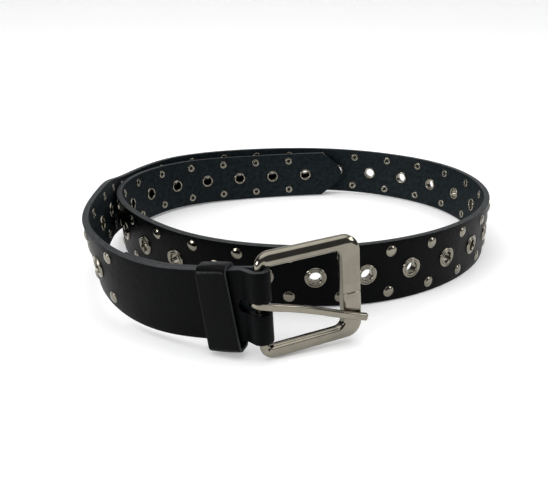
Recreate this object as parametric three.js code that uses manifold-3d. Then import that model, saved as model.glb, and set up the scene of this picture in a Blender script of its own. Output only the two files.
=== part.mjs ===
// A black leather eyelet belt, unfastened and loosely coiled, standing on its edge.
// Millimetres, +Z up. Z = 0 is the surface the belt stands on; X and Y are centred on the whole belt.
import * as THREE from 'three';
import { mergeVertices } from 'three/addons/utils/BufferGeometryUtils.js';
import Module from 'manifold-3d';

const wasm = await Module();
wasm.setup();

// Strap
const WIDTH = 35;
const THICK = 3.5;
const PITCH = 27.65;                 // from one eyelet to the next
const ROW_OFFSET = 11.9;             // rivet rows above and below the centre line
const EYELET_COUNT = 38;
const PLAIN_STEPS = 5.5;             // half pitches from the fold's end to the first rivet pair
const FIRST_RIVET = 90;              // fold edge to the first rivet pair
const LENGTH = 1157;                 // fold edge to the nose of the pointed tip
// Pointed tip: half the width at each distance back from the nose
const TIP_OUTLINE = [
  { back: 16, half: 17.5 },
  { back: 3.2, half: 7.2 },
  { back: 0.9, half: 4.4 },
  { back: 0, half: 2.2 },
];
const FLAP_THICK = 2.2;              // the skived end folded back behind the buckle
const FLAP_END = 80;
const FLAP_SHY = 0.6;                // flap edge short of the strap's edge
const FOLD_SHY = 0.3;                // fold edge short of the strap's edge
const SEAM = 0.5;                    // how far joined leather and metal run into each other

// Route of the strap's middle, one row every 60 mm from the fold edge to just past the tip.
// turn: clockwise bend seen from above, degrees per 100 mm
// lift: lower edge above the surface, mm
// lean: top edge tipped outwards, degrees
const ROUTE_STEP = 60;
const ROUTE = [
  { turn: 0.5, lift: 11.5, lean: 0.0 },
  { turn: 42.5, lift: 5.5, lean: 3.0 },
  { turn: 74.5, lift: 10.75, lean: 9.5 },
  { turn: -12.5, lift: 13.75, lean: 2.0 },
  { turn: 68.0, lift: 4.0, lean: 2.0 },
  { turn: 55.5, lift: 5.25, lean: 1.5 },
  { turn: 20.5, lift: 4.75, lean: 2.0 },
  { turn: 37.5, lift: 3.25, lean: 2.0 },
  { turn: 61.0, lift: 1.5, lean: 1.5 },
  { turn: 61.0, lift: 1.25, lean: 0.5 },
  { turn: 53.0, lift: 0.5, lean: 1.5 },
  { turn: 44.5, lift: 0.75, lean: 1.5 },
  { turn: 42.5, lift: 1.0, lean: -0.5 },
  { turn: 54.0, lift: 1.5, lean: 4.5 },
  { turn: 39.0, lift: 1.0, lean: 5.5 },
  { turn: 52.0, lift: 2.75, lean: 4.0 },
  { turn: 72.5, lift: 2.75, lean: 4.0 },
  { turn: 61.0, lift: 2.25, lean: 2.5 },
  { turn: 26.0, lift: 1.0, lean: 3.0 },
  { turn: 8.0, lift: 1.5, lean: 1.5 },
  { turn: -11.5, lift: 1.25, lean: 0.5 },
];
const START = { x: -20.55, y: -135.13, heading: 161.36 };
const SETTLE = 0.44;                 // taken off every lift, so that the lowest edge meets the surface

// Eyelets and rivets
const EYELET = { hole: 3.2, barrel: 3.6, flange: 6.0, rise: 1.1, back: 4.6, backRise: 0.8 };
const STRAP_HOLE = 4.15;             // radius of the hole punched round the barrel
const GAP = 0.45;                    // flange and rolled ring clear of the leather
const RIVET = { radius: 3.2, rise: 1.1, backRadius: 2.9, backRise: 0.6, root: 0.4 };
const SIDES = { hole: 8, eyelet: 10, rivet: 6, rivetBack: 5 };

// Buckle
const BAR_STATION = 3.5;             // bar axis behind the fold edge
const BAR_INSET = 0.5;               // bar axis inwards of the strap's middle
const BAR_RADIUS = 2.0;
const FOLD_BORE = 2.4;
const FOLD_WALL = 3.3;
const FOLD_BLEND = 17;               // where the fold's loop has closed to the plain strap
const SLOT = { end: 11, half: 4.4 }; // end: distance past the fold edge
const FRAME = { length: 53.4, height: 53, arm: 7, end: 10, thick: 5, bar: 2.3 };
const FRAME_EDGE = { corner: 8, inner: 4, bevel: 1.5 };
const FRAME_SWING = -42.5;           // degrees about the bar, from straight on, inwards
const FRAME_DROP = 1.5;              // frame slid down the fold's play
const SEAT = { width: 5, depth: 0.7 };
const TONGUE = { wide: 3.8, thick: 3.0, chamfer: 1.05, tip: 0.8, droop: 19.2, slide: 0.9 };
const TONGUE_EYE = { bore: 3.1, wall: 1.5, wide: 3.4 };
// Side view of the prong: distance from the bar axis, and height of its middle above the axis
const PRONG = [
  { reach: 0, height: 3.8 },
  { reach: 6.5, height: 3.1 },
  { reach: 14, height: 2.2 },
  { reach: 22, height: 2.0 },
  { reach: 30, height: 2.5 },
  { reach: 38, height: 3.8 },
  { reach: 45, height: 4.5 },
  { reach: 55.5, height: 4.8 },
];

// Keeper loop
const KEEPER = { station: 23.6, wide: 14.8, wall: 1.6, front: 4.3, back: -6.2, top: 19.4, bottom: -23.6 };
const KEEPER_CORNER = { outer: 2.6, inner: 1.0 };

const leather = new THREE.MeshStandardMaterial({ color: 0x17191c, roughness: 0.55, metalness: 0 });
const nickel = () => new THREE.MeshStandardMaterial({ color: 0xb9b3a6, roughness: 0.18, metalness: 1 });

// Cubic curve through one column of the route table
function along(column, s) {
  const u = s / ROUTE_STEP;
  const k = Math.min(Math.max(Math.floor(u), 0), ROUTE.length - 2);
  const t = u - k;
  const row = (i) => ROUTE[Math.min(Math.max(i, 0), ROUTE.length - 1)][column];
  const [a, b, c, d] = [row(k - 1), row(k), row(k + 1), row(k + 2)];
  return b + 0.5 * t * (c - a + t * (2 * a - 5 * b + 4 * c - d + t * (3 * (b - c) + d - a)));
}

// Plan route, walked in 1 mm steps from the fold edge
const walked = [];
{
  let x = START.x;
  let y = START.y;
  let heading = THREE.MathUtils.degToRad(START.heading);
  for (let s = 0; s <= LENGTH + 8; s += 1) {
    walked.push({ x, y, heading });
    const turn = THREE.MathUtils.degToRad(along('turn', s) + along('turn', s + 1)) / 200;
    x += Math.cos(heading - turn / 2);
    y += Math.sin(heading - turn / 2);
    heading -= turn;
  }
}

// Local axes of the strap at a station: tangent, outward normal, and up across the width
function station(s) {
  const k = Math.min(Math.max(Math.floor(s), 0), walked.length - 2);
  const t = s - k;
  const mix = (name) => walked[k][name] * (1 - t) + walked[k + 1][name] * t;
  const heading = mix('heading');
  const slope = Math.atan((along('lift', s + 1) - along('lift', s - 1)) / 2);
  const lean = THREE.MathUtils.degToRad(along('lean', s));
  const flat = new THREE.Vector3(Math.cos(heading), Math.sin(heading), 0);
  const side = new THREE.Vector3(-Math.sin(heading), Math.cos(heading), 0);
  const rise = new THREE.Vector3(0, 0, 1);
  const tangent = flat.clone().multiplyScalar(Math.cos(slope)).addScaledVector(rise, Math.sin(slope));
  const square = rise.clone().multiplyScalar(Math.cos(slope)).addScaledVector(flat, -Math.sin(slope));
  const up = square.clone().multiplyScalar(Math.cos(lean)).addScaledVector(side, Math.sin(lean));
  const out = side.clone().multiplyScalar(Math.cos(lean)).addScaledVector(square, -Math.sin(lean));
  const middle = new THREE.Vector3(mix('x'), mix('y'), WIDTH / 2 + along('lift', s) - SETTLE);
  return { middle, tangent, out, up };
}

function point(frame, off, height) {
  return frame.middle.clone().addScaledVector(frame.out, off).addScaledVector(frame.up, height);
}

// A closed mesh as a solid, and a solid as a geometry
function solid(geometry) {
  const shell = geometry.clone();
  shell.deleteAttribute('normal');
  shell.deleteAttribute('uv');
  const merged = mergeVertices(shell, 1e-4);
  const mesh = new wasm.Mesh({
    numProp: 3,
    vertProperties: new Float32Array(merged.attributes.position.array),
    triVerts: new Uint32Array(merged.index.array),
  });
  return new wasm.Manifold(mesh);
}

function shape(manifold) {
  const mesh = manifold.getMesh();
  const geometry = new THREE.BufferGeometry();
  geometry.setAttribute('position', new THREE.BufferAttribute(new Float32Array(mesh.vertProperties), 3));
  geometry.setIndex(new THREE.BufferAttribute(new Uint32Array(mesh.triVerts), 1));
  geometry.computeVertexNormals();
  return geometry;
}

// Skin over a row of rings, each listed anticlockwise seen from the row's far end
function loft(rings) {
  const size = rings[0].length;
  const corners = rings.flat().flatMap((p) => [p.x, p.y, p.z]);
  const faces = [];
  for (let k = 0; k < rings.length - 1; k += 1) {
    for (let i = 0; i < size; i += 1) {
      const a = k * size + i;
      const b = k * size + (i + 1) % size;
      faces.push(a, b, b + size, a, b + size, a + size);
    }
  }
  const last = (rings.length - 1) * size;
  for (let i = 1; i < size - 1; i += 1) {
    faces.push(0, i + 1, i, last, last + i, last + i + 1);
  }
  const geometry = new THREE.BufferGeometry();
  geometry.setAttribute('position', new THREE.Float32BufferAttribute(corners, 3));
  geometry.setIndex(faces);
  return geometry;
}

// Moves a geometry drawn at the origin onto three axes and a place
function placed(geometry, xAxis, yAxis, zAxis, origin) {
  const matrix = new THREE.Matrix4().makeBasis(xAxis, yAxis, zAxis).setPosition(origin);
  return geometry.applyMatrix4(matrix);
}

// Leather band between two face depths, over a list of stations
function band(stations, inner, outer) {
  return loft(stations.map(({ s, half }) => {
    const frame = station(s);
    const low = [point(frame, inner, -half), point(frame, outer, -half)];
    const high = [point(frame, outer, half), point(frame, inner, half)];
    return low.concat(high);
  }));
}

// Flat seat between two neighbouring stations, where an eyelet or a rivet sits
function seat(s, height) {
  const before = station(s - PITCH / 4);
  const after = station(s + PITCH / 4);
  const middle = point(before, 0, height).lerp(point(after, 0, height), 0.5);
  const up = before.up.clone().add(after.up).normalize();
  const out = up.clone().cross(point(after, 0, height).sub(point(before, 0, height))).normalize();
  const across = out.clone().cross(up).normalize();
  return { middle, out, up: across.clone().cross(out).multiplyScalar(-1), across };
}

// Turned piece whose axis is the seat's outward normal; heights run from the strap's middle
function turned(profile, sides, place) {
  const geometry = new THREE.LatheGeometry(profile.map(([r, y]) => new THREE.Vector2(r, y)), sides);
  return placed(geometry, place.across, place.out, place.across.clone().cross(place.out), place.middle);
}

// Stations half a pitch apart, so that each eyelet and rivet sits between two of them
function strapStations() {
  const list = [];
  const end = LENGTH - TIP_OUTLINE[0].back;
  for (let s = FIRST_RIVET - PLAIN_STEPS * PITCH / 2; s < end - PITCH / 4; s += PITCH / 2) {
    list.push({ s, half: WIDTH / 2 });
  }
  TIP_OUTLINE.forEach(({ back, half }) => list.push({ s: LENGTH - back, half }));
  return list;
}

const barFrame = station(BAR_STATION);
const barOrigin = point(barFrame, -BAR_INSET, 0);

// Loop of leather round the buckle bar, with its slot for the tongue
function fold() {
  const radius = FOLD_BORE + FOLD_WALL;
  const outline = new THREE.Shape();
  const reach = FOLD_BLEND - BAR_STATION;
  outline.absarc(0, 0, radius, Math.PI / 3, 5 * Math.PI / 3, false);
  outline.lineTo(reach, BAR_INSET - THICK / 2 - FLAP_THICK + SEAM);
  outline.lineTo(reach, BAR_INSET + THICK / 2 - SEAM);
  outline.closePath();
  const bore = new THREE.Path().absarc(0, 0, FOLD_BORE, 0, 2 * Math.PI, true);
  outline.holes.push(bore);
  const wide = WIDTH - 2 * FOLD_SHY;
  const loop = new THREE.ExtrudeGeometry(outline, { depth: wide, bevelEnabled: false, curveSegments: 8 });
  loop.translate(0, 0, -wide / 2);
  return solid(placed(loop, barFrame.tangent, barFrame.out, barFrame.up, barOrigin));
}

function tongueSlot() {
  const reach = SLOT.end - BAR_STATION;
  const depth = 3 * (FOLD_BORE + FOLD_WALL);
  const box = new THREE.BoxGeometry(reach + depth, depth, 2 * SLOT.half);
  box.translate((reach - depth) / 2, 0, 0);
  return solid(placed(box, barFrame.tangent, barFrame.out, barFrame.up, barOrigin));
}

function rivets() {
  const face = THICK / 2;
  const foot = RIVET.radius * (RIVET.rise + RIVET.root) / RIVET.rise;
  const backFoot = RIVET.backRadius * (RIVET.backRise + RIVET.root) / RIVET.backRise;
  const cap = [[0, face - RIVET.root], [foot, face - RIVET.root], [0, face + RIVET.rise]];
  const back = [[0, -face - RIVET.backRise], [backFoot, RIVET.root - face], [0, RIVET.root - face]];
  const pieces = [];
  for (let i = 0; i < EYELET_COUNT; i += 1) {
    for (const row of [-ROW_OFFSET, ROW_OFFSET]) {
      const place = seat(FIRST_RIVET + i * PITCH, row);
      pieces.push(solid(turned(cap, SIDES.rivet, place)), solid(turned(back, SIDES.rivetBack, place)));
    }
  }
  return pieces;
}

function eyeletSeats() {
  return Array.from({ length: EYELET_COUNT }, (_, i) => seat(FIRST_RIVET + (i + 0.5) * PITCH, 0));
}

function strap() {
  const stations = strapStations();
  const behind = stations.filter(({ s }) => s < FLAP_END - PITCH / 4).concat({ s: FLAP_END });
  const flapStations = behind.map(({ s }) => ({ s, half: WIDTH / 2 - FLAP_SHY }));
  const flap = band(flapStations, -THICK / 2 - FLAP_THICK, -THICK / 2 + SEAM);
  const cutter = [[0, -THICK], [STRAP_HOLE, -THICK], [STRAP_HOLE, THICK], [0, THICK]];
  const holes = eyeletSeats().map((place) => solid(turned(cutter, SIDES.hole, place)));
  const run = band(stations, -THICK / 2, THICK / 2);
  const leatherSolid = wasm.Manifold.union([solid(run), solid(flap), fold()]);
  const pierced = leatherSolid.subtract(tongueSlot()).subtract(wasm.Manifold.union(holes));
  return pierced.add(wasm.Manifold.union(rivets()));
}

function eyelet(place) {
  const face = THICK / 2 + GAP;
  const inside = [[EYELET.hole, -face - EYELET.backRise], [EYELET.back, -face], [EYELET.barrel, -face]];
  const outside = [[EYELET.barrel, face], [EYELET.flange, face], [EYELET.hole, face + EYELET.rise]];
  const profile = inside.concat(outside, [inside[0]]);
  return turned(profile, SIDES.eyelet, place);
}

// Buckle axes: along the arms, up the bar, and out of the front face
const swing = THREE.MathUtils.degToRad(FRAME_SWING);
const armAxis = barFrame.tangent.clone().multiplyScalar(-Math.cos(swing));
armAxis.addScaledVector(barFrame.out, Math.sin(swing));
const frontAxis = barFrame.out.clone().multiplyScalar(Math.cos(swing));
frontAxis.addScaledVector(barFrame.tangent, Math.sin(swing));
const frameOrigin = barOrigin.clone().addScaledVector(barFrame.up, -FRAME_DROP);

function roundedBox(left, right, low, high, radius) {
  const outline = new THREE.Shape();
  outline.absarc(right - radius, high - radius, radius, 0, Math.PI / 2, false);
  outline.absarc(left + radius, high - radius, radius, Math.PI / 2, Math.PI, false);
  outline.absarc(left + radius, low + radius, radius, Math.PI, 3 * Math.PI / 2, false);
  outline.absarc(right - radius, low + radius, radius, 3 * Math.PI / 2, 2 * Math.PI, false);
  outline.closePath();
  return outline;
}

function buckleFrame() {
  const { length, height, arm, end, thick, bar } = FRAME;
  const { corner, inner, bevel } = FRAME_EDGE;
  const outline = roundedBox(-bar, length - bar, -height / 2, height / 2, corner);
  const plate = new THREE.ExtrudeGeometry(outline, {
    depth: thick - 2 * bevel,
    curveSegments: 5,
    bevelEnabled: true,
    bevelThickness: bevel,
    bevelSize: bevel,
    bevelOffset: -bevel,
    bevelSegments: 1,
  });
  plate.translate(0, 0, bevel - thick / 2);
  const opening = roundedBox(-4 * bar, length - bar - end, arm - height / 2, height / 2 - arm, inner);
  const hollow = { depth: 2 * thick, bevelEnabled: false, curveSegments: 3 };
  const window = new THREE.ExtrudeGeometry(opening, hollow);
  window.translate(0, 0, -thick);
  const barLength = height - 2 * arm + 2 * SEAM;
  const rod = new THREE.CylinderGeometry(BAR_RADIUS, BAR_RADIUS, barLength, 12);
  const groove = new THREE.BoxGeometry(2 * end, SEAT.width, thick);
  groove.translate(length - bar, 0, thick - SEAT.depth);
  const whole = solid(plate).subtract(solid(window)).add(solid(rod)).subtract(solid(groove));
  return placed(shape(whole), armAxis, barFrame.up, frontAxis, frameOrigin);
}

// The prong and its eye, slid up the bar a little and hanging down by the play in the eye
function tongue() {
  const { wide, thick, chamfer, tip, droop, slide } = TONGUE;
  const rings = PRONG.map(({ reach, height }, i) => {
    const slim = i === PRONG.length - 1 ? tip : 1;
    const w = slim * wide / 2;
    const h = slim * thick / 2;
    const lower = [[-w, chamfer - h], [chamfer - w, -h], [w - chamfer, -h], [w, chamfer - h]];
    const upper = lower.map(([across, up]) => [-across, -up]);
    return lower.concat(upper).map(([across, up]) => new THREE.Vector3(reach, across, height + up));
  });
  const eye = TONGUE_EYE;
  const outer = new THREE.Shape().absarc(0, 0, eye.bore + eye.wall, 0, 2 * Math.PI, false);
  outer.holes.push(new THREE.Path().absarc(0, 0, eye.bore, 0, 2 * Math.PI, true));
  const ringDepth = { depth: eye.wide, bevelEnabled: false, curveSegments: 8 };
  const ringGeometry = new THREE.ExtrudeGeometry(outer, ringDepth);
  ringGeometry.translate(0, 0, -eye.wide / 2);
  ringGeometry.rotateX(Math.PI / 2);
  const bore = new THREE.CylinderGeometry(eye.bore, eye.bore, 3 * wide, 16);
  const whole = solid(loft(rings)).subtract(solid(bore)).add(solid(ringGeometry));
  const geometry = shape(whole);
  geometry.rotateZ(-THREE.MathUtils.degToRad(droop));
  geometry.translate(0, slide, 0);
  return placed(geometry, armAxis, barFrame.up, frontAxis, barOrigin);
}

function keeper() {
  const { wide, wall, front, back, top, bottom } = KEEPER;
  const { outer, inner } = KEEPER_CORNER;
  const outline = roundedBox(back, front, bottom, top, outer);
  outline.holes.push(roundedBox(back + wall, front - wall, bottom + wall, top - wall, inner));
  const loop = new THREE.ExtrudeGeometry(outline, { depth: wide, bevelEnabled: false, curveSegments: 3 });
  loop.translate(0, 0, -wide / 2);
  const frame = station(KEEPER.station);
  return placed(loop, frame.out, frame.up, frame.tangent, frame.middle);
}

const belt = new THREE.Group();
belt.name = 'eyelet_belt';

function addPiece(name, geometry, material) {
  const mesh = new THREE.Mesh(geometry, material);
  mesh.name = name;
  belt.add(mesh);
}

addPiece('strap', shape(strap()), leather);
addPiece('keeper', keeper(), leather.clone());
addPiece('buckle_frame', buckleFrame(), nickel());
addPiece('tongue', tongue(), nickel());
eyeletSeats().forEach((place, i) => {
  addPiece(`eyelet_${String(i + 1).padStart(2, '0')}`, eyelet(place), nickel());
});

export default belt;
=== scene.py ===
"""A black leather eyelet belt, unfastened and loosely coiled, standing on its edge."""

import bisect
import math
from collections import namedtuple
from functools import lru_cache

import bmesh
import bpy
from mathutils import Euler, Matrix, Vector


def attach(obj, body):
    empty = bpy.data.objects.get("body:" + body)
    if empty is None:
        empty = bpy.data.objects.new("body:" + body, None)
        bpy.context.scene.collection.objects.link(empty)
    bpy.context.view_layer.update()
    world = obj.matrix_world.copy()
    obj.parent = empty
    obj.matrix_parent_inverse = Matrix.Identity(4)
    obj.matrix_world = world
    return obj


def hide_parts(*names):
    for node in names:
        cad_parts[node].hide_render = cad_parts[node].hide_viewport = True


bl_info = {
    "name": "Eyelet belt",
    "version": (1, 0, 0),
    "blender": (4, 5, 0),
    "location": "View3D > Sidebar > Belt",
    "description": "Dresses the coiled eyelet belt: leather, rivets, eyelets, keeper, buckle and stage",
    "category": "Add Mesh",
}

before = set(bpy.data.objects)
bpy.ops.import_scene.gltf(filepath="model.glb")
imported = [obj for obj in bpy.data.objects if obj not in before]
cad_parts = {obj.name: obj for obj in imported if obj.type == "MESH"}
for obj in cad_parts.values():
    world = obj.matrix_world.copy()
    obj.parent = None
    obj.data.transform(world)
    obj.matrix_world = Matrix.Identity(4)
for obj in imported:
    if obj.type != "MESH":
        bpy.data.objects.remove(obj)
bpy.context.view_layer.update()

# Lengths below are millimetres and angles degrees. A finished piece is scaled to metres.
MM = 0.001
# Corners nearer than the first are one, and places on the flat strap nearer than the second are the same
WELD = 1e-4
SLACK = 0.1

# Strap, measured from the fold at the buckle
LENGTH = 1157
FIRST_RIVET = 90
EYELET_COUNT = 38
COLUMNS_PER_PITCH = 8
# Pointed tip: its mesh columns, and its outline as distance back from the nose and half width
TIP_BACK = (16, 12.8, 9.6, 6.4, 3.2, 2.0, 0.9, 0.3, 0)
TIP_OUTLINE = ((0, 2.2), (0.9, 4.4), (3.2, 7.2), (16, 17.5))
# Heights of the mesh rows across the width, so that a block of four by four faces holds an eyelet
ROW_SHARES = (-1, -0.79, -0.59, -0.41, -0.17, 0, 0.17, 0.41, 0.59, 0.79, 1)
BLOCK_ROW = 0.41
# Slot for the tongue: the row at its edge, and its ends in the outer and the inner layer
SLOT_ROW = 0.17
SLOT_END = 11
INNER_SLOT_END = 9
SLOT_ROUND = 1.5
HOLE_RADIUS = 3.9
EDGE_ROUND = 0.6

# Route of the strap's middle, one row every 60 mm from the fold edge to just past the tip:
# clockwise bend in degrees per 100 mm, lower edge above the surface, top edge tipped outwards in degrees
ROUTE_STEP = 60
TURN, LIFT, LEAN = range(3)
ROUTE = (
    (0.5, 11.5, 0.0),
    (42.5, 5.5, 3.0),
    (74.5, 10.75, 9.5),
    (-12.5, 13.75, 2.0),
    (68.0, 4.0, 2.0),
    (55.5, 5.25, 1.5),
    (20.5, 4.75, 2.0),
    (37.5, 3.25, 2.0),
    (61.0, 1.5, 1.5),
    (61.0, 1.25, 0.5),
    (53.0, 0.5, 1.5),
    (44.5, 0.75, 1.5),
    (42.5, 1.0, -0.5),
    (54.0, 1.5, 4.5),
    (39.0, 1.0, 5.5),
    (52.0, 2.75, 4.0),
    (72.5, 2.75, 4.0),
    (61.0, 2.25, 2.5),
    (26.0, 1.0, 3.0),
    (8.0, 1.5, 1.5),
    (-11.5, 1.25, 0.5),
)
START = (-20.55, -135.13)
START_HEADING = 161.36
# Lowers the whole route, so that its lowest stretches rest on the surface
SETTLE = 0.44

# Fold round the buckle bar
BAR_STATION = 3.5
BAR_INSET = 0.5
FOLD_BORE = 2.4
FOLD_WALL = 3.3
FOLD_ARC = range(300, 59, -15)
FLAP_GAP = 0.1
# The flap from its skived end to the fold: station and thickness
FLAP = ((80, 1.1), (68, 1.8), (55, 2.2), (40, 2.2), (27, 2.2), (19, 2.2), (13.5, 2.2))
# The outer layer pinches in beyond the bar: station and depth outwards
PINCH = ((8.2, 1.3), (10.6, 0.1), (13.6, -0.1))
STRAP_FROM = 17
FOLD_SPACING = 1.3
# The fold is thinner towards its top edge, as far as a reach along the leather from its middle, and the
# thinning fades out before the straight strap
FOLD_TAPER = 0.45
FOLD_REACH = 20
FOLD_MIDDLE = -2
FOLD_FADE = 6

# Buckle: sections as distance in from the outer edge, and height above the middle plane
FRAME_BACK = 2.3
FRAME_LENGTH = 53.4
FRAME_HEIGHT = 53
FRAME_CORNER = 8
WINDOW_CORNER = 4
FRAME_ROUND = 0.25
# The frame's turn on its bar in the photo, and how far it slides down the bar
FRAME_SWING = -42.5
FRAME_DROP = 1.5
ARM_SECTION = ((0.9, -2.5), (0.1, -1.8), (0, -0.2), (0.4, 0.8), (1.4, 1.6), (2.7, 2.15), (4.0, 2.45),
               (5.8, 2.5), (6.6, 1.8), (7, 0.8), (7, -1.8), (6.2, -2.5))
END_SECTION = ((0.9, -2.5), (0.1, -1.8), (0, 0.6), (0.3, 1.7), (1.1, 2.35), (2.2, 2.5), (7.6, 2.5),
               (9.0, 2.35), (9.8, 1.7), (10, 0.6), (10, -1.8), (9.2, -2.5))
BAR_RADIUS = 2.0
BAR_FIRST_TURN = 235
CORNER_STEPS = 8
# The corners at the bar get sharper inwards, down to a least radius
NEAR_CORNER_LOSS = 1.6
NEAR_CORNER_LEAST = 1.5
# The tongue's seat sinks the front of the end bar, between two low lips
SEAT_HALF = 2.5
SEAT_DEPTH = 0.7
SEAT_LIP = 0.18
SEAT_LIP_WIDE = 0.5
SEAT_FRONT = 2
END_LEVELS = (-8, -3.4, -2.8, -2.5, 2.5, 2.8, 3.4, 8)

# Tongue: its turn down onto the seat and its slide up the bar
TONGUE_DROOP = 19.2
TONGUE_SLIDE = 0.9
# Reach from the bar and height of the middle, seen from the side
PRONG = ((6.5, 3.1), (14, 2.2), (22, 2.0), (30, 2.5), (38, 3.8), (45, 4.5), (55.0, 4.8))
PRONG_WIDE = 3.6
PRONG_THICK = 2.8
EYE_RADIUS = 3.85
EYE_WIDE = 3.4
EYE_THICK = 1.5
EYE_ARC = range(405, 89, -15)
TONGUE_SPACING = 1.6
TONGUE_ROUND = 0.45
# Radius of the section's corners as a share of its smaller side
TONGUE_CORNER = 0.32

# Keeper loop round the strap
KEEPER_STATION = 23.6
KEEPER_WIDE = 14.8
KEEPER_WALL = 1.6
KEEPER_FRONT = 4.3
KEEPER_BACK = -6.2
KEEPER_TOP = 19.4
KEEPER_BOTTOM = -23.6
KEEPER_CORNERS = (4.0, 3.1, 3.1, 3.1)
KEEPER_CROWN = 0.3
KEEPER_ROWS = (-1, -0.8, -0.45, 0, 0.45, 0.8, 1)
KEEPER_ROUND = 0.45
# The loop is wider at its lower end, on the side towards the buckle
KEEPER_FLARE = 1.6

# Turned profiles: radius, then height above the leather's face
RIVET_CAP = ((3.05, -0.3), (3.2, 0), (3.19, 0.13), (3.1, 0.23), (2.93, 0.27), (2.8, 0.31), (2.6, 0.5),
             (2.25, 0.72), (1.8, 0.89), (1.2, 1.02), (0.6, 1.08), (0, 1.09))
RIVET_BACK = ((2.85, -0.3), (2.9, 0), (2.87, 0.25), (2.74, 0.46), (2.5, 0.57), (1.7, 0.58), (1.4, 0.46),
              (1.22, 0.15), (1.1, -0.3), (1.08, -1), (0, -1))
EYELET_FRONT = ((3.6, -0.1), (5.85, -0.1), (6, 0.05), (5.98, 0.28), (5.84, 0.52), (5.56, 0.72), (5.2, 0.82),
                (4.9, 0.76), (4.7, 0.6), (4.56, 0.6), (4.44, 0.8), (4.2, 1.0), (3.9, 1.08), (3.62, 1.0),
                (3.38, 0.72), (3.23, 0.28), (3.2, -0.3))
EYELET_BACK = ((3.2, -0.3), (3.21, 0.15), (3.28, 0.48), (3.46, 0.69), (3.72, 0.77), (4.15, 0.76),
               (4.4, 0.6), (4.56, 0.28), (4.6, -0.15), (3.6, -0.15))
RIVET_SIDES = 20
EYELET_SIDES = 32

# Textures: the part of a noise's range that is used, and where the two shades of a mottle stand
NOISE_RANGE = (0.3, 0.7)
MOTTLE_STOPS = (0.35, 0.68)
# Finishes: name, roughness and specular level of leather, name and range of roughness of plated metal
STRAP_GRAIN = ("grain_leather", 0.38, 0.045)
KEEPER_GRAIN = ("keeper_grain", 0.25, 0.06)
RIVET_NICKEL = ("rivet_nickel", 0.1, 0.2)
EYELET_NICKEL = ("eyelet_nickel", 0.08, 0.17)
BUCKLE_NICKEL = ("buckle_nickel", 0.06, 0.12)

# Stage, in metres. Lights: name, place, size across and up, power in watts
FLOOR_WIDE = 8
FLOOR_FRONT = -2.5
FLOOR_LONG = 4.5
SWEEP_STEP = 0.18
SWEEP_TURNS = range(5, 90, 10)
BACKDROP_HIGH = 2
FLOOR_GLOW = 0.16
LIGHTS = (
    ("key_light", (-1.15, -0.75, 0.5), (0.8, 0.4), 14),
    ("fill_light", (1.2, -0.35, 0.6), (0.5, 0.4), 3.5),
)
WALL_COLOUR = (0.06, 0.06, 0.065, 1)
WALLS_END = 0.66
CEILING_STARTS = 0.84
CEILING_STRENGTH = 1.85
CAMERA_PLACE = (-0.01771, -0.39232, 0.15956)
CAMERA_DOWN = 21.1
CAMERA_LENS = 42.24
CAMERA_SENSOR = 36

Station = namedtuple("Station", "middle tangent out up")
Column = namedtuple("Column", "s depth thick")


class BeltSizes(bpy.types.PropertyGroup):
    """Driving sizes of the belt."""

    width: bpy.props.FloatProperty(name="Strap width", description="Width of the leather strap",
                                   default=0.035, min=0.02, max=0.06, unit="LENGTH")
    thick: bpy.props.FloatProperty(name="Strap thickness", description="Thickness of the leather",
                                   default=0.0035, min=0.002, max=0.005, unit="LENGTH")
    pitch: bpy.props.FloatProperty(name="Eyelet pitch", description="Distance from one eyelet to the next",
                                   default=0.02765, min=0.02, max=0.05, unit="LENGTH")
    row_offset: bpy.props.FloatProperty(name="Rivet row offset", description="Rivet row to middle line",
                                        default=0.0119, min=0.008, max=0.015, unit="LENGTH")


class BeltColours(bpy.types.PropertyGroup):
    """Colours of the belt and its stage."""

    grain: bpy.props.FloatVectorProperty(name="Grain side", description="Finished face of the leather",
                                         default=(0.0007, 0.0009, 0.0011), min=0, max=1, subtype="COLOR")
    flesh: bpy.props.FloatVectorProperty(name="Inner side", description="Unfinished inner face",
                                         default=(0.0034, 0.0056, 0.0066), min=0, max=1, subtype="COLOR")
    edge: bpy.props.FloatVectorProperty(name="Cut edge", description="Painted cut edge of the leather",
                                        default=(0.026, 0.029, 0.030), min=0, max=1, subtype="COLOR")
    nickel: bpy.props.FloatVectorProperty(name="Nickel", description="Plated metal of the belt",
                                          default=(0.222, 0.206, 0.166), min=0, max=1, subtype="COLOR")
    floor: bpy.props.FloatVectorProperty(name="Floor", description="Studio floor and backdrop",
                                         default=(0.93, 0.93, 0.93), min=0, max=1, subtype="COLOR")


def mm(length):
    """A property's metres in millimetres."""
    return length / MM


def sizes():
    """Driving sizes in millimetres: strap width, thickness, pitch and rivet row offset."""
    chosen = bpy.context.scene.belt_sizes
    return mm(chosen.width), mm(chosen.thick), mm(chosen.pitch), mm(chosen.row_offset)


def along(column, s):
    """One column of the route table at a station, as a smooth curve."""
    u = s / ROUTE_STEP
    k = min(max(math.floor(u), 0), len(ROUTE) - 2)
    t = u - k
    a, b, c, d = (ROUTE[min(max(i, 0), len(ROUTE) - 1)][column] for i in range(k - 1, k + 3))
    return b + 0.5 * t * (c - a + t * (2 * a - 5 * b + 4 * c - d + t * (3 * (b - c) + d - a)))


@lru_cache(maxsize=None)
def walked():
    """The route in plan, in steps of 1 mm to just past the tip: x, y and heading."""
    x, y = START
    heading = math.radians(START_HEADING)
    steps = []
    for s in range(LENGTH + 9):
        steps.append((x, y, heading))
        # Mean of two bends in degrees per 100 mm
        turn = math.radians(along(TURN, s) + along(TURN, s + 1)) / 200
        x += math.cos(heading - turn / 2)
        y += math.sin(heading - turn / 2)
        heading -= turn
    return steps


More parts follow.
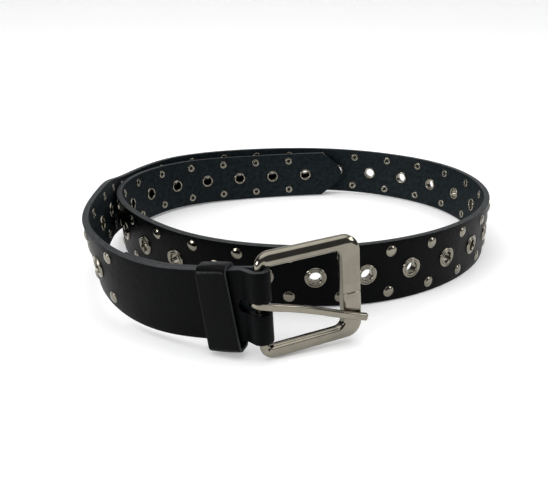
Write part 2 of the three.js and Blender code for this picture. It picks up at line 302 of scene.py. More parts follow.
@lru_cache(maxsize=None)
def station(s):
    """Middle of the strap at a station, with its tangent, outward normal and upward line."""
    steps = walked()
    k = min(max(math.floor(s), 0), len(steps) - 2)
    x, y, heading = (a + (b - a) * (s - k) for a, b in zip(steps[k], steps[k + 1]))
    slope = math.atan((along(LIFT, s + 1) - along(LIFT, s - 1)) / 2)
    lean = math.radians(along(LEAN, s))
    flat = Vector((math.cos(heading), math.sin(heading), 0))
    side = Vector((-math.sin(heading), math.cos(heading), 0))
    rise = Vector((0, 0, 1))
    square = rise * math.cos(slope) - flat * math.sin(slope)
    width = mm(bpy.context.scene.belt_sizes.width)
    return Station(
        Vector((x, y, width / 2 + along(LIFT, s) - SETTLE)),
        flat * math.cos(slope) + rise * math.sin(slope),
        side * math.cos(lean) - square * math.sin(lean),
        square * math.cos(lean) + side * math.sin(lean),
    )


def on_strap(s, depth, height):
    """A point by its station, its depth outwards of the middle and its height above the middle line."""
    place = station(round(s, 4))
    return place.middle + place.out * depth + place.up * height


def axes(x_axis, y_axis, z_axis, origin):
    """Matrix that takes a shape drawn at the origin to three axes and a place."""
    turned = Matrix((x_axis, y_axis, z_axis)).transposed()
    return Matrix.Translation(origin) @ turned.to_4x4()


def sharp_edges(bm, degrees):
    """Edges whose two faces meet at more than an angle."""
    limit = math.radians(degrees)
    return [e for e in bm.edges if e.is_manifold and e.calc_face_angle() > limit]


def round_edges(bm, edges, offset, segments):
    """Rounds edges with a bevel."""
    bmesh.ops.bevel(bm, geom=edges, offset=offset, offset_type="OFFSET", segments=segments, profile=0.5,
                    affect="EDGES", clamp_overlap=True, material=-1)


def skin(bm, rings, closed):
    """Extrudes the first ring through the others, and either meets it again or fills both ends."""
    verts = [bm.verts.new(p) for p in rings[0]]
    first = edges = [bm.edges.new((verts[i - 1], verts[i])) for i in range(len(verts))]
    for points in rings[1:] + (rings[:1] if closed else []):
        grown = bmesh.ops.extrude_edge_only(bm, edges=edges)["geom"]
        fresh = {g for g in grown if isinstance(g, bmesh.types.BMVert)}
        verts = [next(e.other_vert(v) for e in v.link_edges if e.other_vert(v) in fresh) for v in verts]
        for vert, point in zip(verts, points):
            vert.co = point
        edges = [bm.edges.get((verts[i - 1], verts[i])) for i in range(len(verts))]
    if closed:
        bmesh.ops.remove_doubles(bm, verts=bm.verts, dist=WELD)
    else:
        bmesh.ops.edgeloop_fill(bm, edges=first)
        bmesh.ops.edgeloop_fill(bm, edges=edges)
    bmesh.ops.recalc_face_normals(bm, faces=bm.faces)


def turned(bm, profile, sides, matrix):
    """Spins a profile of radius and height about the local Z axis. A closed profile makes a ring."""
    verts = [bm.verts.new((radius, 0, height)) for radius, height in profile]
    edges = [bm.edges.new(pair) for pair in zip(verts, verts[1:])]
    if profile[-1][0] > 0:
        edges.append(bm.edges.new((verts[-1], verts[0])))
    bmesh.ops.spin(bm, geom=verts + edges, cent=(0, 0, 0), axis=(0, 0, 1), dvec=(0, 0, 0),
                   angle=2 * math.pi, steps=sides, use_merge=True, use_duplicate=False)
    fresh = [v for v in bm.verts if not v.tag]
    bmesh.ops.transform(bm, matrix=matrix, verts=fresh)
    for v in fresh:
        v.tag = True


def finished(name, bm, materials, body, nodes=(), sharp=40):
    """Scales a bmesh to metres and makes it a piece that rides on a body and stands for its nodes."""
    bmesh.ops.remove_doubles(bm, verts=bm.verts, dist=WELD)
    bmesh.ops.recalc_face_normals(bm, faces=bm.faces)
    bmesh.ops.scale(bm, vec=(MM, MM, MM), verts=bm.verts)
    mesh = bpy.data.meshes.new(name)
    bm.to_mesh(mesh)
    bm.free()
    for material in materials:
        mesh.materials.append(material)
    mesh.polygons.foreach_set("use_smooth", [True] * len(mesh.polygons))
    mesh.set_sharp_from_angle(angle=math.radians(sharp))
    piece = bpy.data.objects.new(name, mesh)
    bpy.context.scene.collection.objects.link(piece)
    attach(piece, body)
    if nodes:
        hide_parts(*nodes)


# Materials


def new_material(name):
    """An empty node material, its tree's nodes and links, and its main shader."""
    material = bpy.data.materials.new(name)
    material.use_nodes = True
    nodes = material.node_tree.nodes
    return material, nodes, material.node_tree.links, nodes["Principled BSDF"]


def noise(nodes, links, source, scale, detail, roughness=0.5):
    """A noise texture read from a coordinate output."""
    texture = nodes.new("ShaderNodeTexNoise")
    texture.inputs["Scale"].default_value = scale
    texture.inputs["Detail"].default_value = detail
    texture.inputs["Roughness"].default_value = roughness
    links.new(source, texture.inputs["Vector"])
    return texture


def spread(nodes, links, source, low, high):
    """Maps a texture's 0 to 1 onto a range."""
    mapped = nodes.new("ShaderNodeMapRange")
    mapped.inputs["From Min"].default_value, mapped.inputs["From Max"].default_value = NOISE_RANGE
    mapped.inputs["To Min"].default_value = low
    mapped.inputs["To Max"].default_value = high
    links.new(source, mapped.inputs["Value"])
    return mapped.outputs["Result"]


def mottled(nodes, links, source, colour, dark, light):
    """Colour that wanders between a darker and a lighter shade with a texture."""
    ramp = nodes.new("ShaderNodeValToRGB")
    for element, position, factor in zip(ramp.color_ramp.elements, MOTTLE_STOPS, (dark, light)):
        element.position = position
        element.color = (*(c * factor for c in colour), 1)
    links.new(source, ramp.inputs["Fac"])
    return ramp.outputs["Color"]


def bump(nodes, links, height, strength, distance, under=None):
    """A bump of a height output, on top of another one if given."""
    node = nodes.new("ShaderNodeBump")
    node.inputs["Strength"].default_value = strength
    node.inputs["Distance"].default_value = distance
    links.new(height, node.inputs["Height"])
    if under:
        links.new(under, node.inputs["Normal"])
    return node.outputs["Normal"]


def grain_leather(name, rough, level):
    """Finished face: fine pores, soft creases and a satin sheen that wanders a little."""
    material, nodes, links, shader = new_material(name)
    colour = bpy.context.scene.belt_colours.grain
    surface = nodes.new("ShaderNodeUVMap").outputs["UV"]
    cloud = noise(nodes, links, surface, scale=38, detail=5).outputs["Fac"]
    links.new(mottled(nodes, links, cloud, colour, dark=0.75, light=1.5), shader.inputs["Base Color"])
    links.new(spread(nodes, links, cloud, low=rough * 1.12, high=rough * 0.88), shader.inputs["Roughness"])
    shader.inputs["Specular IOR Level"].default_value = level
    pores = nodes.new("ShaderNodeTexVoronoi")
    pores.inputs["Scale"].default_value = 1500
    pores.inputs["Randomness"].default_value = 1
    links.new(surface, pores.inputs["Vector"])
    grain = bump(nodes, links, pores.outputs["Distance"], strength=0.35, distance=0.0003)
    creases = noise(nodes, links, surface, scale=210, detail=7, roughness=0.62).outputs["Fac"]
    folds = bump(nodes, links, creases, strength=0.35, distance=0.0007, under=grain)
    links.new(folds, shader.inputs["Normal"])
    return material


def flesh_leather(name):
    """Inner face: brushed fibres, matt and slightly blue, mottled."""
    material, nodes, links, shader = new_material(name)
    colour = bpy.context.scene.belt_colours.flesh
    surface = nodes.new("ShaderNodeUVMap").outputs["UV"]
    cloud = noise(nodes, links, surface, scale=320, detail=8, roughness=0.7).outputs["Fac"]
    links.new(mottled(nodes, links, cloud, colour, dark=0.6, light=3.2), shader.inputs["Base Color"])
    links.new(spread(nodes, links, cloud, low=0.62, high=0.5), shader.inputs["Roughness"])
    shader.inputs["Specular IOR Level"].default_value = 0.08
    fibres = noise(nodes, links, surface, scale=1400, detail=6, roughness=0.75).outputs["Fac"]
    links.new(bump(nodes, links, fibres, strength=0.5, distance=0.0004), shader.inputs["Normal"])
    return material


def cut_edge(name):
    """Cut edge: grey paint over rough fibres, worn lighter in streaks along the strap."""
    material, nodes, links, shader = new_material(name)
    colour = bpy.context.scene.belt_colours.edge
    surface = nodes.new("ShaderNodeUVMap").outputs["UV"]
    stretched = nodes.new("ShaderNodeMapping")
    stretched.inputs["Scale"].default_value = (260, 2400, 1)
    links.new(surface, stretched.inputs["Vector"])
    lengthwise = stretched.outputs["Vector"]
    streaks = noise(nodes, links, lengthwise, scale=1, detail=6, roughness=0.65).outputs["Fac"]
    links.new(mottled(nodes, links, streaks, colour, dark=0.4, light=1.9), shader.inputs["Base Color"])
    shader.inputs["Roughness"].default_value = 0.62
    shader.inputs["Specular IOR Level"].default_value = 0.2
    links.new(bump(nodes, links, streaks, strength=0.45, distance=0.0004), shader.inputs["Normal"])
    return material


def nickel(name, smoothest, roughest):
    """Plated metal with faint polishing cloud and hairlines."""
    material, nodes, links, shader = new_material(name)
    colour = bpy.context.scene.belt_colours.nickel
    place = nodes.new("ShaderNodeTexCoord").outputs["Object"]
    cloud = noise(nodes, links, place, scale=160, detail=5).outputs["Fac"]
    links.new(mottled(nodes, links, cloud, colour, dark=0.9, light=1.08), shader.inputs["Base Color"])
    links.new(spread(nodes, links, cloud, smoothest, roughest), shader.inputs["Roughness"])
    shader.inputs["Metallic"].default_value = 1
    hairlines = noise(nodes, links, place, scale=2600, detail=3).outputs["Fac"]
    links.new(bump(nodes, links, hairlines, strength=0.05, distance=0.0001), shader.inputs["Normal"])
    return material


def once(maker, name, *values):
    """A material by name, made the first time it is asked for."""
    return bpy.data.materials.get(name) or maker(name, *values)


def leather_set(name, rough, level):
    """Grain side, inner side and cut edge, in the order of the leather's material indices."""
    return [once(grain_leather, name, rough, level), once(flesh_leather, "inner_leather"),
            once(cut_edge, "cut_edge")]


def mark_leather(bm):
    """On flat leather, picks grain, inner side or cut edge by the way a face points. Writes the UV map in
    metres. Cut edges near the middle line, the slot's walls among them, take the dark grain material as
    painted shade for the shadow inside the slot."""
    layer = bm.loops.layers.uv.verify()
    for face in bm.faces:
        rise = face.normal.z
        # Painted shade: cut edges near the middle line, such as the slot's walls, take the dark grain
        # material
        edge = 0 if abs(face.calc_center_median().y) < HOLE_RADIUS else 2
        face.material_index = 0 if rise > 0.5 else 1 if rise < -0.5 else edge
        for loop in face.loops:
            x, y, z = loop.vert.co
            loop[layer].uv = (x * MM, (y + z) * MM)


# Strap


def smoothed(points, spacing):
    """Points of equal columns along a smooth curve through given points."""
    result = []
    for k in range(len(points) - 1):
        a, b, c, d = (points[min(max(i, 0), len(points) - 1)] for i in range(k - 1, k + 3))
        count = max(1, round(math.dist(b[:2], c[:2]) / spacing))
        for i in range(count):
            t = i / count
            result.append(tuple(
                q + 0.5 * t * (r - p + t * (2 * p - 5 * q + 4 * r - w + t * (3 * (q - r) + w - p)))
                for p, q, r, w in zip(a, b, c, d)))
    return result + [tuple(points[-1])]


def ribbon():
    """Columns of the leather from the flap's end, round the bar, to the nose of the tip."""
    _, thick, pitch, _ = sizes()
    inner_face = -thick / 2 - FLAP_GAP
    points = [(s, inner_face - layer / 2, layer) for s, layer in FLAP]
    radius = FOLD_BORE + FOLD_WALL / 2
    for angle in FOLD_ARC:
        turn = math.radians(angle)
        points.append((BAR_STATION + radius * math.cos(turn), radius * math.sin(turn) - BAR_INSET,
                       FOLD_WALL))
    points += [(s, depth, thick) for s, depth in PINCH]
    points.append((STRAP_FROM, 0, thick))
    columns = [Column(*p) for p in smoothed(points, FOLD_SPACING)]
    step = pitch / COLUMNS_PER_PITCH
    first = FIRST_RIVET - math.floor((FIRST_RIVET - STRAP_FROM - 0.3) / step) * step
    count = math.floor((LENGTH - TIP_BACK[0] - 1 - first) / step)
    columns += [Column(first + i * step, 0, thick) for i in range(count + 1)]
    columns += [Column(LENGTH - back, 0, thick) for back in TIP_BACK]
    return columns


def tip_share(s, width):
    """Share of the full half width that the pointed tip has at a station."""
    back = LENGTH - s
    if back >= TIP_OUTLINE[-1][0]:
        return 1
    for (near, low), (far, high) in zip(TIP_OUTLINE, TIP_OUTLINE[1:]):
        if back <= far:
            half = low + (high - low) * max(back - near, 0) / (far - near)
            return half / (width / 2)
    return 1


class Ribbon:
    """Bends flat leather round the bar and along the route."""

    def __init__(self):
        self.width, self.thick, _, _ = sizes()
        self.columns = ribbon()
        self.places = [0]
        for one, other in zip(self.columns, self.columns[1:]):
            self.places.append(self.places[-1] + math.dist(one[:2], other[:2]))
        self.fold_middle = self.flat_place(FOLD_MIDDLE)
        self.normals = []
        for i in range(len(self.columns)):
            one = self.columns[max(i - 1, 0)]
            other = self.columns[min(i + 1, len(self.columns) - 1)]
            reach = math.dist(one[:2], other[:2])
            self.normals.append(((one.depth - other.depth) / reach, (other.s - one.s) / reach))

    def flat_place(self, s):
        """Place along the flat strip of a station on the outer layer."""
        return self.places[-1] - LENGTH + s

    def bent(self, co):
        """A flat point, x along the strip, y across it and z up from the inner face, taken to its place."""
        k = min(max(bisect.bisect_right(self.places, co.x) - 1, 0), len(self.places) - 2)
        share = (co.x - self.places[k]) / (self.places[k + 1] - self.places[k])

        def mix(a, b):
            return a + (b - a) * share

        one, other = self.columns[k], self.columns[k + 1]
        s, depth, thick = (mix(a, b) for a, b in zip(one, other))
        normal_s, normal_depth = (mix(a, b) for a, b in zip(self.normals[k], self.normals[k + 1]))
        height = co.y
        fade = min(max((STRAP_FROM - s) / FOLD_FADE, 0), 1)
        off = co.z * thick / self.thick
        if off > 0 and abs(co.x - self.fold_middle) < FOLD_REACH:
            off *= 1 - FOLD_TAPER * (0.5 + height / self.width) * fade
        if co.x > self.places[-1] - TIP_BACK[0] - 1:
            height *= tip_share(s, self.width)
        return on_strap(s + normal_s * off, depth + normal_depth * off, height)


def eyelet_stations():
    """Stations of the eyelets."""
    pitch = mm(bpy.context.scene.belt_sizes.pitch)
    return [FIRST_RIVET + (i + 0.5) * pitch for i in range(EYELET_COUNT)]


def cut_holes(bm, strip):
    """Opens a round hole in a block of faces at each eyelet."""
    pitch = mm(bpy.context.scene.belt_sizes.pitch)
    reach = 2 * pitch / COLUMNS_PER_PITCH + SLACK
    tall = BLOCK_ROW * strip.width / 2 + SLACK
    for s in eyelet_stations():
        middle = strip.flat_place(s)

        def inside(co):
            return abs(co.x - middle) < reach and abs(co.y) < tall

        block = [f for f in bm.faces if inside(f.calc_center_median())]
        bmesh.ops.delete(bm, geom=block, context="FACES")
        rim = [e for e in bm.edges if e.is_boundary and all(inside(v.co) for v in e.verts)]
        grown = bmesh.ops.extrude_edge_only(bm, edges=rim)["geom"]
        for vert in (g for g in grown if isinstance(g, bmesh.types.BMVert)):
            away = Vector((vert.co.x - middle, vert.co.y, 0)).normalized() * HOLE_RADIUS
            vert.co = Vector((middle + away.x, away.y, 0))


def cut_slot(bm, strip):
    """Opens the tongue's slot through the fold, with round ends."""
    half = SLOT_ROW * strip.width / 2
    inner = max(x for x, c in zip(strip.places, strip.columns)
                if c.s >= INNER_SLOT_END and x < strip.flat_place(0) - 1)
    outer = min(x for x, c in zip(strip.places, strip.columns)
                if c.s >= SLOT_END and x > strip.flat_place(0))
    gone = [f for f in bm.faces
            if inner < f.calc_center_median().x < outer and abs(f.calc_center_median().y) < half]
    bmesh.ops.delete(bm, geom=gone, context="FACES")
    for vert in bm.verts:
        if abs(vert.co.y) < SLACK and abs(vert.co.x - inner) < SLACK:
            vert.co.x -= SLOT_ROUND
        elif abs(vert.co.y) < SLACK and abs(vert.co.x - outer) < SLACK:
            vert.co.x += SLOT_ROUND


class BELT_OT_strap(bpy.types.Operator):
    """Leather strap with its fold, slot, flap, eyelet holes and pointed tip"""

    bl_idname = "belt.strap"
    bl_label = "Strap"

    def execute(self, context):
        strip = Ribbon()
        bm = bmesh.new()
        verts = [bm.verts.new((0, share * strip.width / 2, 0)) for share in ROW_SHARES]
        edges = [bm.edges.new(pair) for pair in zip(verts, verts[1:])]
        for before, after in zip(strip.places, strip.places[1:]):
            grown = bmesh.ops.extrude_edge_only(bm, edges=edges)["geom"]
            moved = [g for g in grown if isinstance(g, bmesh.types.BMVert)]
            bmesh.ops.translate(bm, vec=(after - before, 0, 0), verts=moved)
            kept = set(moved)
            edges = [g for g in grown if isinstance(g, bmesh.types.BMEdge) and kept.issuperset(g.verts)]
        cut_holes(bm, strip)
        cut_slot(bm, strip)
        bmesh.ops.recalc_face_normals(bm, faces=bm.faces)
        if sum(f.normal.z for f in bm.faces) < 0:
            bmesh.ops.reverse_faces(bm, faces=bm.faces)
        bmesh.ops.solidify(bm, geom=bm.faces, thickness=strip.thick)
        top = max(v.co.z for v in bm.verts)
        bmesh.ops.translate(bm, vec=(0, 0, strip.thick / 2 - top), verts=bm.verts)
        bm.normal_update()
        mark_leather(bm)
        rim = [e for e in sharp_edges(bm, degrees=60) if not self.at_hole(e, strip)]
        round_edges(bm, rim, EDGE_ROUND, segments=3)
        for vert in bm.verts:
            vert.co = strip.bent(vert.co)
        finished("strap_leather", bm, leather_set(*STRAP_GRAIN), "belt", ["strap"])
        return {"FINISHED"}

    @staticmethod
    def at_hole(edge, strip):
        """True on the rim of an eyelet's hole."""
        middle = (edge.verts[0].co + edge.verts[1].co) / 2
        within = abs(middle.y) < HOLE_RADIUS + SLACK
        return within and strip.flat_place(FIRST_RIVET) < middle.x < strip.places[-1] - TIP_BACK[0]


# Metal on the strap


def face_matrix(s, height, outer):
    """Place on the strap's outer or inner face, with local Z away from the leather."""
    thick = mm(bpy.context.scene.belt_sizes.thick)
    place = station(round(s, 4))
    if outer:
        return axes(place.up, place.tangent, place.out, on_strap(s, thick / 2, height))
    return axes(place.tangent, place.up, place.out * -1, on_strap(s, -thick / 2, height))


class BELT_OT_rivets(bpy.types.Operator):
    """Two rows of domed rivets with their rolled backs on the inner face"""

    bl_idname = "belt.rivets"
    bl_label = "Rivets"

    def execute(self, context):
        _, _, pitch, offset = sizes()
        bm = bmesh.new()
        for i in range(EYELET_COUNT):
            for height in (-offset, offset):
                s = FIRST_RIVET + i * pitch
                turned(bm, RIVET_CAP, RIVET_SIDES, face_matrix(s, height, True))
                turned(bm, RIVET_BACK, RIVET_SIDES, face_matrix(s, height, False))
        bmesh.ops.holes_fill(bm, edges=[e for e in bm.edges if e.is_boundary], sides=RIVET_SIDES)
        finished("rivets", bm, [once(nickel, *RIVET_NICKEL)], "belt")
        return {"FINISHED"}


class BELT_OT_eyelets(bpy.types.Operator):
    """One eyelet in each hole: domed flange, barrel and rolled ring on the inner face"""

    bl_idname = "belt.eyelets"
    bl_label = "Eyelets"

    def execute(self, context):
        thick = mm(context.scene.belt_sizes.thick)
        metal = once(nickel, *EYELET_NICKEL)
        back = [(radius, -thick - height) for radius, height in EYELET_BACK]
        for i, s in enumerate(eyelet_stations(), start=1):
            bm = bmesh.new()
            turned(bm, [*EYELET_FRONT, *back], EYELET_SIDES, face_matrix(s, 0, True))
            finished(f"eyelet_metal_{i:02d}", bm, [metal], "belt", [f"eyelet_{i:02d}"])
        return {"FINISHED"}


# Keeper


def rounded_box(left, right, low, high, radii, steps):
    """Anticlockwise points of a box with rounded corners: radii start at the upper right corner."""
    corners = ((right, high, 0), (left, high, 90), (left, low, 180), (right, low, 270))
    points = []
    for (x, y, start), radius in zip(corners, radii):
        centre = (x - radius * (1 if x == right else -1), y - radius * (1 if y == high else -1))
        for i in range(steps + 1):
            turn = math.radians(start + 90 * i / steps)
            points.append((centre[0] + radius * math.cos(turn), centre[1] + radius * math.sin(turn)))
    return points


class BELT_OT_keeper(bpy.types.Operator):
    """Leather keeper loop beside the buckle"""

    bl_idname = "belt.keeper"
    bl_label = "Keeper"

    def execute(self, context):
        outline = rounded_box(KEEPER_BACK, KEEPER_FRONT, KEEPER_BOTTOM, KEEPER_TOP, KEEPER_CORNERS, steps=6)
        bm = bmesh.new()
        loops = []
        for wall in (0, KEEPER_WALL):
            for share in KEEPER_ROWS if wall == 0 else KEEPER_ROWS[::-1]:
                crown = KEEPER_CROWN * (1 - share * share)
                loops.append([self.inwards(outline, i, wall - crown, share) for i in range(len(outline))])
        skin(bm, loops, True)
        round_edges(bm, sharp_edges(bm, degrees=50), KEEPER_ROUND, segments=3)
        layer = bm.loops.layers.uv.verify()
        middle = ((KEEPER_FRONT + KEEPER_BACK) / 2, (KEEPER_TOP + KEEPER_BOTTOM) / 2)
        for face in bm.faces:
            centre = face.calc_center_median()
            outward = Vector((centre.x - middle[0], centre.y - middle[1], 0))
            side = face.normal.dot(outward.normalized())
            face.material_index = 2 if abs(face.normal.z) > 0.5 else 0 if side > 0 else 1
            for loop in face.loops:
                x, y, z = loop.vert.co
                loop[layer].uv = (z * MM, (x + y) * MM)
        place = station(KEEPER_STATION)
        turn = axes(place.out, place.up, place.tangent, place.middle)
        bmesh.ops.transform(bm, matrix=turn, verts=bm.verts)
        finished("keeper_leather", bm, leather_set(*KEEPER_GRAIN), "belt", ["keeper"])
        return {"FINISHED"}

    @staticmethod
    def inwards(outline, i, depth, share):
        """A point of the outline moved inwards along its normal, at a share of half the keeper's width."""
        before, here, after = outline[i - 1], outline[i], outline[(i + 1) % len(outline)]
        along_x, along_y = after[0] - before[0], after[1] - before[1]
        reach = math.hypot(along_x, along_y)
        low = (KEEPER_TOP - here[1]) / (KEEPER_TOP - KEEPER_BOTTOM)
        flare = KEEPER_FLARE * low * (1 - share) / 2
        return Vector((here[0] - along_y / reach * depth, here[1] + along_x / reach * depth,
                       share * KEEPER_WIDE / 2 - flare))


# Buckle


def buckle_axes():
    """Direction of the arms, up the bar and out of the front face, and the bar's middle."""
    place = station(BAR_STATION)
    swing = math.radians(FRAME_SWING)
    arm = place.out * math.sin(swing) - place.tangent * math.cos(swing)
    front = place.out * math.cos(swing) + place.tangent * math.sin(swing)
    return arm, place.up, front, on_strap(BAR_STATION, -BAR_INSET, 0)


def bar_section():
    """The buckle's section at the bar, as distance in from the outer edge and height."""
    count = len(ARM_SECTION)
    turns = [math.radians(BAR_FIRST_TURN - 360 * i / count) for i in range(count)]
    return [(FRAME_BACK + BAR_RADIUS * math.cos(turn), BAR_RADIUS * math.sin(turn)) for turn in turns]


class BELT_OT_buckle(bpy.types.Operator):
    """Cast buckle frame with its bar and the tongue's seat"""

    bl_idname = "belt.buckle"
    bl_label = "Buckle frame"

    def execute(self, context):
        bm = bmesh.new()
        skin(bm, [self.outline(k) for k in range(len(ARM_SECTION))], True)
        round_edges(bm, sharp_edges(bm, degrees=34), FRAME_ROUND, segments=2)
        arm, up, front, bar = buckle_axes()
        bmesh.ops.transform(bm, matrix=axes(arm, up, front, bar - up * FRAME_DROP), verts=bm.verts)
        metal = [once(nickel, *BUCKLE_NICKEL)]
        finished("buckle_cast", bm, metal, "buckle", ["buckle_frame"], sharp=30)
        return {"FINISHED"}

    @staticmethod
    def outline(k):
        """One loop of the frame: the same point of the section all the way round."""
        arm_in, arm_z = ARM_SECTION[k]
        end_in, end_z = END_SECTION[k]
        bar_in, bar_z = bar_section()[k]
        arm_wide = max(a for a, _ in ARM_SECTION)
        right = FRAME_LENGTH - FRAME_BACK - end_in
        left = bar_in - FRAME_BACK
        high = FRAME_HEIGHT / 2 - arm_in
        radius = FRAME_CORNER + (WINDOW_CORNER - FRAME_CORNER) * arm_in / arm_wide
        near = max(FRAME_CORNER - bar_in * NEAR_CORNER_LOSS, NEAR_CORNER_LEAST)
        corners = (
            (right, high, radius, 0, end_z, arm_z),
            (left, high, near, 90, arm_z, bar_z),
            (left, -high, near, 180, bar_z, arm_z),
            (right, -high, radius, 270, arm_z, end_z),
        )
        loop = []
        for x, y, r, start, from_z, to_z in corners:
            centre_x = x - r if x == right else x + r
            centre_y = y - r if y == high else y + r
            for i in range(CORNER_STEPS + 1):
                share = i / CORNER_STEPS
                turn = math.radians(start + 90 * share)
                loop.append(Vector((centre_x + r * math.cos(turn), centre_y + r * math.sin(turn),
                                    from_z + (to_z - from_z) * share)))
        for level in END_LEVELS:
            z = end_z
            if end_z > SEAT_FRONT:
                z -= SEAT_DEPTH if abs(level) <= SEAT_HALF else 0
                z += SEAT_LIP if SEAT_HALF < abs(level) < SEAT_HALF + SEAT_LIP_WIDE else 0
            loop.append(Vector((right, level, z)))
        return loop


# Tongue


class BELT_OT_tongue(bpy.types.Operator):
    """Prong with its eye round the bar, hanging by the eye's play"""

    bl_idname = "belt.tongue"
    bl_label = "Tongue"

    def execute(self, context):
        path = []
        for angle in EYE_ARC:
            turn = math.radians(angle)
            path.append((EYE_RADIUS * math.cos(turn), EYE_RADIUS * math.sin(turn), EYE_WIDE, EYE_THICK))
        path += [(reach, height, PRONG_WIDE, PRONG_THICK) for reach, height in PRONG]
        rows = smoothed(path, TONGUE_SPACING)
        bm = bmesh.new()
        rings = []
        for i, (reach, height, wide, thick) in enumerate(rows):
            before, after = rows[max(i - 1, 0)], rows[min(i + 1, len(rows) - 1)]
            angle = math.atan2(after[1] - before[1], after[0] - before[0])
            rings.append(self.section(reach, height, wide, thick, angle))
        skin(bm, rings, False)
        round_edges(bm, sharp_edges(bm, degrees=60), TONGUE_ROUND, segments=3)
        bmesh.ops.rotate(bm, cent=(0, 0, 0), matrix=Matrix.Rotation(-math.radians(TONGUE_DROOP), 3, "Z"),
                         verts=bm.verts)
        arm, up, front, bar = buckle_axes()
        bmesh.ops.transform(bm, matrix=axes(arm, up, front, bar + up * TONGUE_SLIDE), verts=bm.verts)
        metal = [once(nickel, *BUCKLE_NICKEL)]
        finished("tongue_prong", bm, metal, "prong", ["tongue"], sharp=50)
        return {"FINISHED"}

    @staticmethod
    def section(reach, height, wide, thick, angle):
        """A section square to the prong's line, flat on top and sides with round corners."""
        corner = min(wide, thick) * TONGUE_CORNER
        outline = rounded_box(-wide / 2, wide / 2, -thick / 2, thick / 2, [corner] * 4, steps=3)
        lean_x, lean_z = -math.sin(angle), math.cos(angle)
        return [Vector((reach + lean_x * v, u, height + lean_z * v)) for u, v in outline]


# Stage


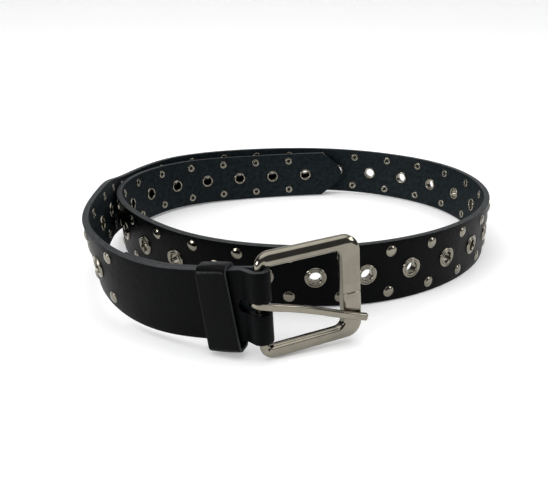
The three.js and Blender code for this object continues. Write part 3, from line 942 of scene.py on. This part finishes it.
class BELT_OT_stage(bpy.types.Operator):
    """Pale floor and backdrop, soft lights and the camera"""

    bl_idname = "belt.stage"
    bl_label = "Stage"

    def execute(self, context):
        self.floor()
        self.lights()
        self.sky()
        self.camera()
        context.scene.view_settings.view_transform = "Standard"
        return {"FINISHED"}

    @staticmethod
    def floor():
        """A floor that curves up into a backdrop."""
        bm = bmesh.new()
        verts = [bm.verts.new((x, FLOOR_FRONT, 0)) for x in (-FLOOR_WIDE / 2, FLOOR_WIDE / 2)]
        edges = [bm.edges.new(verts)]
        turns = [math.radians(a) for a in SWEEP_TURNS]
        bend = [(0, SWEEP_STEP * math.cos(turn), SWEEP_STEP * math.sin(turn)) for turn in turns]
        for step in [(0, FLOOR_LONG, 0), *bend, (0, 0, BACKDROP_HIGH)]:
            grown = bmesh.ops.extrude_edge_only(bm, edges=edges)["geom"]
            bmesh.ops.translate(bm, vec=step, verts=[g for g in grown if isinstance(g, bmesh.types.BMVert)])
            edges = [g for g in grown if isinstance(g, bmesh.types.BMEdge) and len(g.link_faces) == 1
                     and abs(g.verts[0].co.x - g.verts[1].co.x) > 1]
        bmesh.ops.recalc_face_normals(bm, faces=bm.faces)
        mesh = bpy.data.meshes.new("studio_floor")
        bm.to_mesh(mesh)
        bm.free()
        mesh.polygons.foreach_set("use_smooth", [True] * len(mesh.polygons))
        material, _, _, shader = new_material("studio_floor")
        shader.inputs["Base Color"].default_value = (*bpy.context.scene.belt_colours.floor, 1)
        shader.inputs["Roughness"].default_value = 0.8
        shader.inputs["Emission Color"].default_value = (1, 1, 1, 1)
        shader.inputs["Emission Strength"].default_value = FLOOR_GLOW
        mesh.materials.append(material)
        floor = bpy.data.objects.new("studio_floor", mesh)
        bpy.context.scene.collection.objects.link(floor)

    @staticmethod
    def lights():
        """Soft boxes that face the belt's middle."""
        for name, place, (across, tall), power in LIGHTS:
            light = bpy.data.lights.new(name, "AREA")
            light.shape = "RECTANGLE"
            light.size = across
            light.size_y = tall
            light.energy = power
            lamp = bpy.data.objects.new(name, light)
            lamp.location = place
            lamp.rotation_euler = (-Vector(place)).to_track_quat("-Z", "Y").to_euler()
            bpy.context.scene.collection.objects.link(lamp)

    @staticmethod
    def sky():
        """Surroundings: for reflections a bright ceiling over dim walls, for the camera plain white."""
        world = bpy.data.worlds.new("studio")
        world.use_nodes = True
        nodes, links = world.node_tree.nodes, world.node_tree.links
        height = nodes.new("ShaderNodeSeparateXYZ")
        links.new(nodes.new("ShaderNodeTexCoord").outputs["Generated"], height.inputs["Vector"])
        ramp = nodes.new("ShaderNodeValToRGB")
        ramp.color_ramp.elements[0].position = WALLS_END
        ramp.color_ramp.elements[0].color = WALL_COLOUR
        ramp.color_ramp.elements[1].position = CEILING_STARTS
        ramp.color_ramp.elements[1].color = (1, 1, 1, 1)
        links.new(height.outputs["Z"], ramp.inputs["Fac"])
        seen = nodes.new("ShaderNodeMix")
        seen.data_type = "RGBA"
        seen.inputs["B"].default_value = (1, 1, 1, 1)
        links.new(nodes.new("ShaderNodeLightPath").outputs["Is Camera Ray"], seen.inputs["Factor"])
        links.new(ramp.outputs["Color"], seen.inputs["A"])
        background = nodes["Background"]
        background.inputs["Strength"].default_value = CEILING_STRENGTH
        links.new(seen.outputs["Result"], background.inputs["Color"])
        bpy.context.scene.world = world

    @staticmethod
    def camera():
        """Camera a little above the front of the belt."""
        data = bpy.data.cameras.new("camera")
        data.sensor_width = CAMERA_SENSOR
        data.lens = CAMERA_LENS
        data.clip_start = 0.01
        data.clip_end = 50
        camera = bpy.data.objects.new("camera", data)
        camera.location = CAMERA_PLACE
        camera.rotation_euler = Euler((math.radians(90 - CAMERA_DOWN), 0, 0))
        bpy.context.scene.collection.objects.link(camera)
        bpy.context.scene.camera = camera


PIECES = (BELT_OT_strap, BELT_OT_rivets, BELT_OT_eyelets, BELT_OT_keeper, BELT_OT_buckle, BELT_OT_tongue,
          BELT_OT_stage)


class BELT_PT_panel(bpy.types.Panel):
    """Lists the belt's sizes, colours and pieces"""

    bl_idname = "BELT_PT_panel"
    bl_label = "Eyelet belt"
    bl_space_type = "VIEW_3D"
    bl_region_type = "UI"
    bl_category = "Belt"

    def draw(self, context):
        for group in (context.scene.belt_sizes, context.scene.belt_colours):
            for name in group.__annotations__:
                self.layout.prop(group, name)
        for piece in PIECES:
            self.layout.operator(piece.bl_idname)


CLASSES = (BeltSizes, BeltColours, *PIECES, BELT_PT_panel)


def register():
    for one in CLASSES:
        bpy.utils.register_class(one)
    bpy.types.Scene.belt_sizes = bpy.props.PointerProperty(type=BeltSizes)
    bpy.types.Scene.belt_colours = bpy.props.PointerProperty(type=BeltColours)


def unregister():
    del bpy.types.Scene.belt_colours
    del bpy.types.Scene.belt_sizes
    for one in reversed(CLASSES):
        bpy.utils.unregister_class(one)


def main():
    """Makes every piece and the stage."""
    register()
    bpy.ops.belt.strap()
    bpy.ops.belt.rivets()
    bpy.ops.belt.eyelets()
    bpy.ops.belt.keeper()
    bpy.ops.belt.buckle()
    bpy.ops.belt.tongue()
    bpy.ops.belt.stage()


if __name__ == "__main__":
    main()
